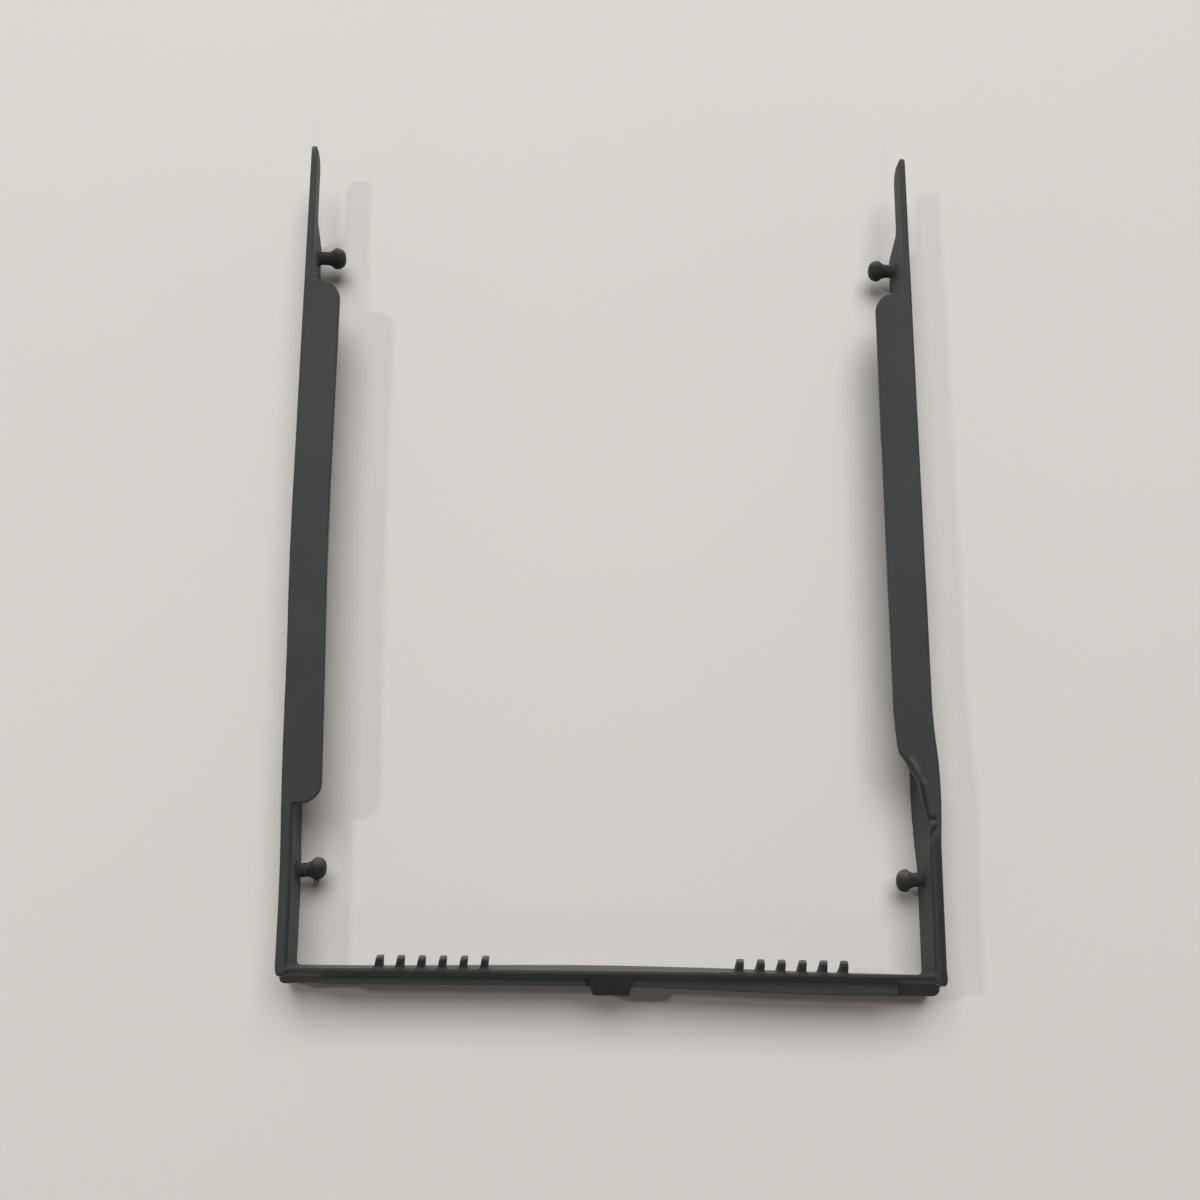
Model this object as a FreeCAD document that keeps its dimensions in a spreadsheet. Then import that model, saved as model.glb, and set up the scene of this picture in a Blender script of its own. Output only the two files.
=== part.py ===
import FreeCAD, Part
import os
import re
import Sketcher

# Carrier frame for a slim 2.5-inch disk drive: one moulding in soft black rubber.
# A bar runs across the back, two arms run forward along the drive's sides, four
# pegs press into the drive's side screw holes and two flanges lie over its top.
# X runs across, Y from the bar to the arm tips and Z up; the bottom edges lie on Z = 0.
# Below, Y = 0 is the bar's inner face and X = 0 the middle of the bar.

doc = FreeCAD.newDocument("DriveCaddy")

# Driving dimensions, in millimetres and degrees
SIZES = [
    ("frame_width", 74.9, "outer width across the arms at the bar"),
    ("wall_height", 8.0, "height of arms and bar"),
    ("wall_thickness", 1.1, "arm wall where it leaves the bar"),
    ("tip_thickness", 0.8, "arm wall at its tip"),
    ("left_bow", 0.92, "how far the left arm has spread outwards"),
    ("bow_start", 12.0, "where the left arm starts to spread"),
    ("bow_end", 54.0, "where the left arm runs straight again"),
    ("kink", 0.45, "how far the right arm bulges outwards"),
    ("kink_start", 12.0, "where the bulge starts"),
    ("kink_peak", 20.5, "where the bulge is widest"),
    ("kink_end", 31.0, "where the bulge is over"),
    ("kink_return", 0.35, "how far inwards the right arm stands after the bulge"),
    ("right_inset", 0.82, "how far inwards the right arm stands at its tip"),
    ("flange_width", 4.5, "outer face of an arm to the inner edge of its flange"),
    ("flange_thickness", 1.0, "thickness of the flange"),
    ("back_gap", 7.4, "first pair of pegs to the lower end of the flange"),
    ("front_gap", 5.2, "upper end of the flange to the second pair of pegs"),
    ("flange_corner", 2.4, "rounding of the flange's corners in plan"),
    ("lip_width", 1.4, "width of the bead along the top of the bare wall"),
    ("lip_height", 1.0, "height of that bead"),
    ("fold_start", 25.3, "where the fold of the right flange leaves its inner edge"),
    ("fold_turn", 22.1, "where that fold bends towards the wall"),
    ("fold_inset", 1.45, "outer face of the arm to the fold at its bend"),
    ("fold_end", 17.4, "where the fold of the right flange meets the wall"),
    ("fold_angle", 100.0, "how far the end of the right flange is folded down"),
    ("fold_radius", 0.8, "rounding along that fold"),
    ("crease_radius", 0.4, "rounding of that fold where it meets the wall"),
    ("flap_depth", 2.5, "how far the folded end hangs at the bend of the fold"),
    ("flap_margin", 0.1, "height of the folded end where it starts and stops, past the fold"),
    ("flap_root", 0.15, "overlap of the folded end with the flange"),
    ("tongue_height", 3.6, "height of the tongue at an arm's tip"),
    ("tongue_length", 10.4, "end of an arm's full height to its tip"),
    ("peg_margin", 2.8, "second pair of pegs to the end of an arm's full height"),
    ("shoulder_run", 1.7, "length of the slope from full height to tongue"),
    ("shoulder_radius", 1.2, "rounding of that slope"),
    ("nose_radius", 2.0, "rounding under the tip of the tongue"),
    ("bar_thickness", 0.95, "thickness of the bar's wall"),
    ("bar_crest", 0.4, "top of the bar, before it falls towards the ledge"),
    ("crest_radius", 0.35, "rounding of the bar's inner upper edge"),
    ("ledge_height", 6.6, "height of the ledge along the bar's outer face"),
    ("ledge_left", 0.9, "depth of the ledge in its left half"),
    ("ledge_right", 1.45, "depth of the ledge at its right end, where the bar is twisted"),
    ("twist_start", 1.0, "middle of the bar to where the ledge starts to widen"),
    ("twist_end", 21.0, "middle of the bar to where the ledge is at its widest"),
    ("ledge_inset", 0.7, "ends of the wedges to the arms' outer faces"),
    ("block_length", 4.3, "length of the wedge at each end of the ledge"),
    ("block_toe", 4.2, "height of that wedge at its outer edge"),
    ("block_corner", 0.6, "rounding of the wedge's outer corner"),
    ("tab_width", 4.9, "width of the middle tab at the bar"),
    ("tab_tip_width", 4.3, "width of the middle tab at its end"),
    ("tab_depth", 1.95, "how far the middle tab stands out from the bar"),
    ("tab_drop", 0.2, "top of the tab at the bar, below the top of the bar"),
    ("tab_slope", 1.9, "fall of the tab's top over its depth"),
    ("tab_rise", 1.2, "underside of the tab above the bottom"),
    ("rib_count", 6, "crush ribs in each of the two groups"),
    ("rib_pitch", 2.35, "spacing of the crush ribs"),
    ("rib_distance", 20.15, "middle of the bar to the middle of a group"),
    ("rib_depth", 1.45, "how far a rib stands out from the bar"),
    ("rib_base", 0.88, "width of a rib at the bar"),
    ("rib_tip", 0.84, "width of a rib at its tip"),
    ("rib_lean", 0.2, "set of a rib's tip to the right of its foot"),
    ("rib_height", 2.8, "height of a rib at the bar"),
    ("rib_nose", 1.4, "height of a rib at its tip"),
    ("rib_round", 0.9, "rounding over the tip of a rib"),
    ("peg_height", 3.0, "peg's axis above the bottom, the drive's hole height"),
    ("peg_start", 10.6, "bar's inner face to the first pair of pegs"),
    ("peg_pitch", 76.6, "spacing of the drive's side screw holes"),
    ("peg_length", 3.3, "wall to the end of a peg"),
    ("root_diameter", 2.8, "flared foot of a peg"),
    ("root_sink", 0.06, "how far that flare starts inside the wall"),
    ("neck_diameter", 1.7, "neck of a peg"),
    ("head_diameter", 2.7, "head of a peg"),
    ("head_flare", 0.9, "length of the flare from the neck to the head's rim"),
    ("head_land", 0.3, "width of the head's rim"),
    ("head_flat", 0.7, "diameter of the flat on the end of the head's dome"),
    ("corner_radius", 0.8, "rounding of the frame's two outer corners"),
    ("inner_radius", 0.4, "rounding of the frame's two inner corners"),
    ("edge_radius", 0.3, "rounding of the upper edges"),
]

sheet = doc.addObject("Spreadsheet::Sheet", "Params")
for row, (alias, number, note) in enumerate(SIZES, start=1):
    sheet.set(f"A{row}", note)
    sheet.set(f"B{row}", str(number))
    sheet.setAlias(f"B{row}", alias)
doc.recompute()

ALIASES = {alias for alias, number, note in SIZES}
body = doc.addObject("PartDesign::Body", "CaddyFrame")
body.Label = "caddy_frame"


def tied(expression):
    """The expression with each size named as a cell of the sheet."""

    def cell(word):
        return "Params." + word[0] if word[0] in ALIASES else word[0]

    return re.sub(r"[a-z_]+", cell, expression)


def value(expression):
    return float(sheet.evalExpression(tied(expression)))


def bind(item, prop, expression):
    item.setExpression(prop, tied(expression))


def plane(role):
    return next(item for item in body.Origin.OriginFeatures if item.Role == role)


def new_sketch(name, role, offset=("0", "0", "0")):
    """A sketch on one of the body's own planes, shifted along that plane's axes."""
    sketch = body.newObject("Sketcher::SketchObject", name)
    sketch.AttachmentSupport = (plane(role), [""])
    sketch.MapMode = "FlatFace"
    for axis, expression in zip("xyz", offset):
        if expression != "0":
            bind(sketch, f"AttachmentOffset.Base.{axis}", expression)
    return sketch


def outline(sketch, sides):
    """A closed outline; a side is its first corner and, for an arc, a point on it and its radius."""
    points = [FreeCAD.Vector(value(x), value(y), 0) for x, y, via, radius in sides]
    first = []
    for i, (x, y, via, radius) in enumerate(sides):
        ahead = points[(i + 1) % len(points)]
        if via is None:
            curve = Part.LineSegment(points[i], ahead)
        else:
            curve = Part.Arc(points[i], FreeCAD.Vector(value(via[0]), value(via[1]), 0), ahead)
        geometry = sketch.addGeometry(curve, False)
        first.append(1 if sketch.getPoint(geometry, 1).isEqual(points[i], 1e-6) else 2)
    for i, (x, y, via, radius) in enumerate(sides):
        after = (i + 1) % len(sides)
        sketch.addConstraint(Sketcher.Constraint("Coincident", i, 3 - first[i], after, first[after]))
        rule(sketch, ("DistanceX", -1, 1, i, first[i]), x)
        rule(sketch, ("DistanceY", -1, 1, i, first[i]), y)
        if radius is not None:
            rule(sketch, ("Radius", i), radius)
    doc.recompute()
    return sketch


def rule(sketch, terms, expression):
    """A dimension of the sketch, tied to the sheet."""
    index = sketch.addConstraint(Sketcher.Constraint(*terms, value(expression)))
    bind(sketch, f"Constraints[{index}]", expression)


def corners(*points):
    """Straight sides through the points."""
    return [(x, y, None, None) for x, y in points]


def settle(item):
    """Recompute, and stop if the feature failed."""
    doc.recompute()
    if not item.isValid():
        raise RuntimeError(item.Name + " failed")
    return item


def pad(name, sketch, length, reverse=False):
    item = body.newObject("PartDesign::Pad", name)
    item.Profile = sketch
    item.Reversed = reverse
    bind(item, "Length", length)
    return settle(item)


def pocket(name, sketch, length):
    """A cut that reaches equally far to both sides of its sketch."""
    before = body.Shape.Volume
    item = body.newObject("PartDesign::Pocket", name)
    item.Profile = sketch
    item.SideType = "Symmetric"
    bind(item, "Length", length)
    settle(item)
    if body.Shape.Volume >= before:
        raise RuntimeError(name + " cuts nothing")
    return item


def edges_where(test):
    """Names of the edges whose two ends and middle all pass the test."""
    names = []
    for index, edge in enumerate(body.Shape.Edges, start=1):
        middle = edge.valueAt((edge.FirstParameter + edge.LastParameter) / 2)
        ends = [vertex.Point for vertex in edge.Vertexes]
        if all(test(point) for point in ends + [middle]):
            names.append(f"Edge{index}")
    return names


def round_edges(name, radius, test):
    names = edges_where(test)
    if not names:
        raise RuntimeError(name + " finds no edge")
    base = body.Tip
    item = body.newObject("PartDesign::Fillet", name)
    item.Base = (base, names)
    bind(item, "Radius", radius)
    body.Tip = item
    return settle(item)


def near(a, b):
    return abs(a - b) < 1e-4


def between(low, high, y, y_low, y_high):
    """A size that grows evenly from low to high along Y."""
    return f"({low}) + (({high}) - ({low})) * (({y}) - ({y_low})) / (({y_high}) - ({y_low}))"


def straight(x_low, y_low, x_high, y_high):
    """One straight piece of an arm's outer line."""
    return [(y_low, y_high, None, lambda y: between(x_low, x_high, y, y_low, y_high))]


def sweep(x_low, y_low, x_high, y_high):
    """Two equal arcs that carry an arm's outer line sideways, upright at both ends."""
    shift = f"(({x_high}) - ({x_low}))"
    run = f"(({y_high}) - ({y_low}))"
    radius = f"(({run} * {run} + {shift} * {shift}) / (4 * abs({shift})))"
    turn = "+" if value(shift) > 0 else "-"
    back = "-" if value(shift) > 0 else "+"
    middle = f"(({y_low}) + {run} / 2)"

    def sag(distance):
        return f"({radius} - sqrt({radius} * {radius} - ({distance}) * ({distance})))"

    return [
        (y_low, middle, radius, lambda y: f"({x_low}) {turn} {sag(f'({y}) - ({y_low})')}"),
        (middle, y_high, radius, lambda y: f"({x_high}) {back} {sag(f'({y_high}) - ({y})')}"),
    ]


# Places along an arm, which follow from the pegs; the arms reach just past the drive's 100.2 mm
FRONT_PEG = "(peg_start + peg_pitch)"
FLANGE_START = "(peg_start + back_gap)"
FLANGE_END = f"({FRONT_PEG} - front_gap)"
SHOULDER = f"({FRONT_PEG} + peg_margin)"
ARM_END = f"({SHOULDER} + tongue_length)"

# Outer line of each arm, from the bar to the tip
HALF = "frame_width / 2"
DIAGONAL = "sqrt(2) / 2"
ARM_LINES = {
    "left": straight(f"-{HALF}", "-bar_thickness", f"-{HALF}", "bow_start")
    + sweep(f"-{HALF}", "bow_start", f"-{HALF} - left_bow", "bow_end")
    + straight(f"-{HALF} - left_bow", "bow_end", f"-{HALF} - left_bow", ARM_END),
    "right": straight(HALF, "-bar_thickness", HALF, "kink_start")
    + sweep(HALF, "kink_start", f"{HALF} + kink", "kink_peak")
    + sweep(f"{HALF} + kink", "kink_peak", f"{HALF} - kink_return", "kink_end")
    + straight(f"{HALF} - kink_return", "kink_end", f"{HALF} - right_inset", ARM_END),
}
INWARD = {"left": "+", "right": "-"}


def pieces_between(side, low, high):
    """The pieces of an arm's line between two heights of the plan, cut off there."""
    found = []
    for y_low, y_high, radius, x_at in ARM_LINES[side]:
        if value(y_high) <= value(low) or value(y_low) >= value(high):
            continue
        start = low if value(y_low) < value(low) else y_low
        stop = high if value(y_high) > value(high) else y_high
        found.append((start, stop, radius, x_at))
    return found


def inside(side, x, depth):
    return f"{x} {INWARD[side]} ({depth})"


def rising(side, low, high, depth, end_depth=None):
    """An arm's line from low to high, moved inwards by the depth, as sides of an outline."""
    sides = []
    for start, stop, radius, x_at in pieces_between(side, low, high):
        half_way = f"(({start}) + ({stop})) / 2"
        via = None if radius is None else (inside(side, x_at(half_way), depth), half_way)
        sides.append((inside(side, x_at(start), depth), start, via, radius))
    sides.append((inside(side, x_at(stop), end_depth or depth), stop, None, None))
    return sides


def falling(sides):
    """The same sides, from high to low."""
    shifted = [(None, None)] + [(via, radius) for x, y, via, radius in sides[:-1]]
    return [(x, y, via, radius) for (x, y, _, _), (via, radius) in zip(sides, shifted)][::-1]


def arm_x(side, y):
    """X of an arm's outer line at one height of the plan."""
    for y_low, y_high, radius, x_at in ARM_LINES[side]:
        if value(y) <= value(y_high):
            break
    return x_at(y)


# Walls of the bar and the arms; the arms thin towards their tips
plan = new_sketch("WallPlan", "XY_Plane")
outline(plan, falling(rising("left", "-bar_thickness", ARM_END, "0"))
        + rising("right", "-bar_thickness", ARM_END, "0")
        + falling(rising("right", "0", ARM_END, "wall_thickness", "tip_thickness"))
        + rising("left", "0", ARM_END, "wall_thickness", "tip_thickness"))
pad("Walls", plan, "wall_height")


def on_upright(point, x, y):
    return near(abs(point.x), value(x)) and near(point.y, value(y))


round_edges("OuterCorners", "corner_radius", lambda p: on_upright(p, HALF, "-bar_thickness"))
round_edges("InnerCorners", "inner_radius", lambda p: on_upright(p, f"{HALF} - wall_thickness", "0"))

# Steep fall of the bar's top towards the ledge, and its rounded inner edge
slope = new_sketch("BarSlope", "YZ_Plane")
outline(slope, corners(
    ("-bar_crest", "wall_height"),
    ("-2 * bar_thickness", "wall_height"),
    ("-2 * bar_thickness", "ledge_height"),
    ("-bar_thickness", "ledge_height"),
))
pocket("BarTop", slope, f"2 * ({HALF} - lip_width)")

crest = new_sketch("CrestSide", "YZ_Plane")
crest_via = (f"crest_radius * ({DIAGONAL} - 1)", f"wall_height + crest_radius * ({DIAGONAL} - 1)")
outline(crest, [
    ("0", "wall_height - crest_radius", crest_via, "crest_radius"),
    ("-crest_radius", "wall_height", None, None),
    ("crest_radius", "wall_height", None, None),
    ("crest_radius", "wall_height - crest_radius", None, None),
])
pocket("BarCrest", crest, f"2 * ({HALF} - wall_thickness - inner_radius)")

# Ledge along the bar's outer face, deeper to the right, where the bar is twisted outwards
LEDGE_END = f"({HALF} - ledge_inset)"
LEDGE_STOP = f"({LEDGE_END} - block_length)"
ledge = new_sketch("LedgePlan", "XY_Plane")
outline(ledge, corners(
    (f"-{LEDGE_STOP}", "-bar_thickness / 2"),
    (f"-{LEDGE_STOP}", "-bar_thickness - ledge_left"),
    ("twist_start", "-bar_thickness - ledge_left"),
    ("twist_end", "-bar_thickness - ledge_right"),
    (LEDGE_STOP, "-bar_thickness - ledge_right"),
    (LEDGE_STOP, "-bar_thickness / 2"),
))
pad("Ledge", ledge, "ledge_height")

# Wedges at the ends of the ledge, which go on sloping down from the bar
for name, start, depth in (
    ("LeftBlock", f"-{LEDGE_END}", "ledge_left"),
    ("RightBlock", LEDGE_STOP, "ledge_right"),
):
    wedge = new_sketch(name + "Side", "YZ_Plane", ("0", "0", start))
    outline(wedge, corners(
        ("-bar_thickness / 2", "0"),
        ("-bar_thickness / 2", "ledge_height"),
        ("-bar_thickness", "ledge_height"),
        (f"-bar_thickness - {depth}", "block_toe"),
        (f"-bar_thickness - {depth}", "0"),
    ))
    pad(name, wedge, "block_length")


def on_block_corner(point):
    """On the upright outer corner of a wedge."""
    depth = "ledge_left" if point.x < 0 else "ledge_right"
    return near(abs(point.x), value(LEDGE_END)) and near(point.y, value(f"-bar_thickness - {depth}"))


round_edges("BlockCorners", "block_corner", on_block_corner)

# Tapered tab in the middle of the bar
tab_sections = []
for name, out, width, fall in (
    ("TabFoot", "bar_thickness / 2", "tab_width", "0"),
    ("TabEnd", "bar_thickness + tab_depth", "tab_tip_width", "tab_slope"),
):
    section = new_sketch(name, "XZ_Plane", ("0", "0", out))
    tab_top = f"wall_height - tab_drop - {fall}"
    outline(section, corners(
        (f"-{width} / 2", "tab_rise"),
        (f"{width} / 2", "tab_rise"),
        (f"{width} / 2", tab_top),
        (f"-{width} / 2", tab_top),
    ))
    tab_sections.append(section)
tab = body.newObject("PartDesign::AdditiveLoft", "Tab")
tab.Profile = tab_sections[0]
tab.Sections = tab_sections[1:]
tab.Ruled = True
settle(tab)

# Slimmer tongues at the arm tips, rounded underneath
TONGUE_FOOT = "wall_height - tongue_height"
tongue = new_sketch("TongueSide", "YZ_Plane")
outline(tongue, corners(
    (SHOULDER, "-tongue_height"),
    (SHOULDER, "0"),
    (f"{SHOULDER} + shoulder_run", TONGUE_FOOT),
    (f"{ARM_END} + tongue_length", TONGUE_FOOT),
    (f"{ARM_END} + tongue_length", "-tongue_height"),
))
pocket("TongueCut", tongue, "2 * frame_width")
round_edges("Shoulders", "shoulder_radius",
            lambda p: near(p.y, value(SHOULDER)) and near(p.z, 0)
            or near(p.y, value(f"{SHOULDER} + shoulder_run")) and near(p.z, value(TONGUE_FOOT)))
round_edges("Noses", "nose_radius",
            lambda p: near(p.y, value(ARM_END)) and near(p.z, value(TONGUE_FOOT)))

# Bead along the top of the bare wall, between the bar and each flange
for side, stop in (("left", f"{FLANGE_START} + flange_corner"), ("right", "fold_end + flange_corner")):
    bead = new_sketch(side.title() + "BeadPlan", "XY_Plane", ("0", "0", "wall_height - lip_height"))
    outline(bead, rising(side, "-bar_crest", stop, "wall_thickness / 2")
            + falling(rising(side, "-bar_crest", stop, "lip_width")))
    pad(side.title() + "Bead", bead, "lip_height")

# Flanges over the drive; the right one stops at a slanting fold
left_cover = new_sketch("LeftFlangePlan", "XY_Plane", ("0", "0", "wall_height - flange_thickness"))
outline(left_cover, rising("left", FLANGE_START, FLANGE_END, "wall_thickness / 2")
        + falling(rising("left", FLANGE_START, FLANGE_END, "flange_width")))
pad("LeftFlange", left_cover, "flange_thickness")

# Fold of the right flange, from its inner edge over a bend to the middle of the wall
SETBACK = "(flange_thickness * tan(fold_angle * 1deg / 2))"
FOLD_A = (inside("right", arm_x("right", "fold_start"), f"flange_width - {SETBACK}"), "fold_start")
FOLD_M = (inside("right", arm_x("right", "fold_turn"), "fold_inset"), "fold_turn")
FOLD_B = (inside("right", arm_x("right", "fold_end"), "wall_thickness / 2"), "fold_end")


def fold_run(start, stop):
    """Run in X, run in Y and length of a stretch of the fold."""
    run_x = f"(({stop[0]}) - ({start[0]}))"
    run_y = f"(({stop[1]}) - ({start[1]}))"
    return run_x, run_y, f"sqrt({run_x} * {run_x} + {run_y} * {run_y})"


def off_fold(point, run):
    """The point of the bent sheet's outer corner beside a point of the fold."""
    run_x, run_y, length = run
    x = f"({point[0]}) + {run_y} / {length} * {SETBACK}"
    y = f"({point[1]}) - {run_x} / {length} * {SETBACK}"
    return x, y


RUN_A = fold_run(FOLD_A, FOLD_M)
RUN_M = fold_run(FOLD_A, FOLD_B)
RUN_B = fold_run(FOLD_M, FOLD_B)

right_cover = new_sketch("RightFlangePlan", "XY_Plane", ("0", "0", "wall_height - flange_thickness"))
outline(right_cover, rising("right", "fold_end", FLANGE_END, "wall_thickness / 2")
        + falling(rising("right", "fold_start", FLANGE_END, "flange_width"))
        + corners(off_fold(FOLD_A, RUN_A), FOLD_M))
pad("RightFlange", right_cover, "flange_thickness")

# End of the right flange, folded down and a little under: three sections of bent sheet,
# short at both ends of the fold and longest where the corner of the flange hangs
COS = "cos(fold_angle * 1deg)"
SIN = "sin(fold_angle * 1deg)"
FLAP_END = f"({SETBACK} + flap_margin)"
SHEET_X = f"flange_thickness * {SIN}"
SHEET_Y = f"flange_thickness * {COS}"

upright_turn = FreeCAD.Rotation(FreeCAD.Vector(0, 1, 0), 180)
flap_sections = []
for name, point, run, reach, radius in (
    ("FlapStart", FOLD_A, RUN_A, FLAP_END, "fold_radius"),
    ("FlapMiddle", FOLD_M, RUN_M, "flap_depth", "fold_radius"),
    ("FlapStop", FOLD_B, RUN_B, FLAP_END, "crease_radius"),
):
    tangent = f"({radius} * tan(fold_angle * 1deg / 2))"
    crest = f"{radius} * (1 / cos(fold_angle * 1deg / 2) - 1)"
    via = (f"-{crest} * sin(fold_angle * 1deg / 2)", f"-{crest} * cos(fold_angle * 1deg / 2)")
    section = new_sketch(name, "XZ_Plane")
    section.AttachmentOffset = FreeCAD.Placement(FreeCAD.Vector(), upright_turn)
    x, y = off_fold(point, run)
    bind(section, "AttachmentOffset.Base.x", x)
    bind(section, "AttachmentOffset.Base.y", "wall_height")
    bind(section, "AttachmentOffset.Base.z", f"-({y})")
    bind(section, "AttachmentOffset.Rotation.Angle", f"atan2(-{run[0]}; {run[1]})")
    outline(section, [
        (f"-{SETBACK} - flap_root", "0", None, None),
        (f"-{tangent}", "0", via, radius),
        (f"{tangent} * {COS}", f"-{tangent} * {SIN}", None, None),
        (f"{reach} * {COS}", f"-{reach} * {SIN}", None, None),
        (f"{reach} * {COS} - {SHEET_X}", f"-{reach} * {SIN} - {SHEET_Y}", None, None),
        (f"-{SETBACK}", "-flange_thickness", None, None),
        (f"-{SETBACK} - flap_root", "-flange_thickness", None, None),
    ])
    flap_sections.append(section)
flap = body.newObject("PartDesign::AdditiveLoft", "Flap")
flap.Profile = flap_sections[0]
flap.Sections = flap_sections[1:]
flap.Ruled = True
settle(flap)


def on_flange_corner(point):
    """On an upright corner of a flange's inner edge."""
    for side, y in (("left", FLANGE_START), ("left", FLANGE_END), ("right", FLANGE_END)):
        x = inside(side, arm_x(side, y), "flange_width")
        if near(point.x, value(x)) and near(point.y, value(y)):
            return True
    return False


round_edges("FlangeCorners", "flange_corner", on_flange_corner)


def on_outer_top(point):
    """On the upper outer edge of an arm."""
    if not near(point.z, value("wall_height")) or point.y < 0:
        return False
    side = "left" if point.x < 0 else "right"
    return near(point.x, value(arm_x(side, str(point.y))))


round_edges("OuterTopEdges", "edge_radius", on_outer_top)


def wall_at(side, y):
    """Thickness of an arm's wall at one height of the plan, on its last, straight piece."""
    y_low, y_high, radius, x_at = ARM_LINES[side][-1]
    if value(y) < value(y_low):
        return "wall_thickness"
    return between("wall_thickness", "tip_thickness", y, y_low, y_high)


# Pegs for the drive's side screw holes: a flared root, a neck that flares to a rim, and a dome
ROOT = "(root_diameter - neck_diameter) / 2"
NOSE = "(head_diameter - head_flat) / 2"
HEAD_FRONT = f"(peg_length - {NOSE})"
HEAD_BACK = f"({HEAD_FRONT} - head_land)"
FLARE_RISE = "((head_diameter - neck_diameter) / 2)"
FLARE = f"((head_flare * head_flare + {FLARE_RISE} * {FLARE_RISE}) / (2 * {FLARE_RISE}))"
FLARE_SAG = f"({FLARE} - sqrt({FLARE} * {FLARE} - head_flare * head_flare / 4))"


def add_peg(name, side, y):
    way = INWARD[side]
    start = f"{arm_x(side, y)} {way} ({wall_at(side, y)})"
    half = new_sketch(name + "Half", "XY_Plane", (start, y, "peg_height"))
    root_via = (
        f"0 {way} ({ROOT} * (1 - {DIAGONAL}) - root_sink)",
        f"root_diameter / 2 - {ROOT} * {DIAGONAL}",
    )
    flare_via = (f"0 {way} ({HEAD_BACK} - head_flare / 2)", f"neck_diameter / 2 + {FLARE_SAG}")
    nose_via = (f"0 {way} ({HEAD_FRONT} + {NOSE} * {DIAGONAL})", f"head_flat / 2 + {NOSE} * {DIAGONAL}")
    outline(half, [
        (f"0 {way} (0 - wall_thickness / 2)", "0", None, None),
        (f"0 {way} (0 - wall_thickness / 2)", "root_diameter / 2", None, None),
        (f"0 {way} (0 - root_sink)", "root_diameter / 2", root_via, ROOT),
        (f"0 {way} ({ROOT} - root_sink)", "neck_diameter / 2", None, None),
        (f"0 {way} ({HEAD_BACK} - head_flare)", "neck_diameter / 2", flare_via, FLARE),
        (f"0 {way} {HEAD_BACK}", "head_diameter / 2", None, None),
        (f"0 {way} {HEAD_FRONT}", "head_diameter / 2", nose_via, NOSE),
        (f"0 {way} peg_length", "head_flat / 2", None, None),
        (f"0 {way} peg_length", "0", None, None),
    ])
    peg = body.newObject("PartDesign::Revolution", name)
    peg.Profile = half
    peg.ReferenceAxis = (half, ["H_Axis"])
    peg.Angle = 360
    settle(peg)


for side in ("left", "right"):
    add_peg(side.title() + "BackPeg", side, "peg_start")
    add_peg(side.title() + "FrontPeg", side, FRONT_PEG)

# Two groups of crush ribs on the bar's inner face, leaning to one side
for name, centre in (("LeftRibs", "-rib_distance"), ("RightRibs", "rib_distance")):
    first_x = f"({centre} - (rib_count - 1) * rib_pitch / 2)"
    rib_plan = new_sketch(name + "Plan", "XY_Plane", ("0", "0", "wall_height"))
    outline(rib_plan, corners(
        (f"{first_x} - rib_base / 2", "-bar_crest"),
        (f"{first_x} + rib_base / 2", "-bar_crest"),
        (f"{first_x} + rib_base / 2", "0"),
        (f"{first_x} + rib_lean + rib_tip / 2", "rib_depth"),
        (f"{first_x} + rib_lean - rib_tip / 2", "rib_depth"),
        (f"{first_x} - rib_base / 2", "0"),
    ))
    rib = pad(name + "First", rib_plan, "rib_height", reverse=True)
    row = body.newObject("PartDesign::LinearPattern", name)
    row.Originals = [rib]
    row.Direction = (rib_plan, ["H_Axis"])
    bind(row, "Length", "(rib_count - 1) * rib_pitch")
    bind(row, "Occurrences", "rib_count")
    body.Tip = row
    settle(row)

# Underside of the ribs, which rises towards their tips
under = new_sketch("RibUnderside", "YZ_Plane")
outline(under, corners(
    ("0", "wall_height - rib_height"),
    ("rib_depth", "wall_height - rib_nose"),
    ("2 * rib_depth", "wall_height - rib_nose"),
    ("2 * rib_depth", "wall_height - rib_height"),
))
pocket("RibSlope", under, "2 * rib_distance + rib_count * rib_pitch")
round_edges("RibNoses", "rib_round",
            lambda p: near(p.z, value("wall_height")) and near(p.y, value("rib_depth")))

# The part's own frame: on the bottom, in the middle of its outline
bind(body, "Placement.Base.x", "(left_bow - kink) / 2")
bind(body, "Placement.Base.y", f"(bar_thickness + tab_depth - {ARM_END}) / 2")
doc.recompute()

for item in doc.Objects:
    if "Invalid" in item.State or "Error" in item.State:
        raise RuntimeError(item.Name + " failed")
if body.Shape.isNull() or not body.Shape.isValid() or len(body.Shape.Solids) != 1:
    raise RuntimeError(body.Label + " is not one valid solid")
os.makedirs("parts", exist_ok=True)
body.Shape.exportStep(f"parts/{body.Label}.step")
box = body.Shape.optimalBoundingBox(False, False)
print(f"{body.Label}: {box.XLength:.2f} x {box.YLength:.2f} x {box.ZLength:.2f} mm")
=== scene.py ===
import math

import bmesh
import bpy
import numpy as np
from mathutils import Matrix, Vector


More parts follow.
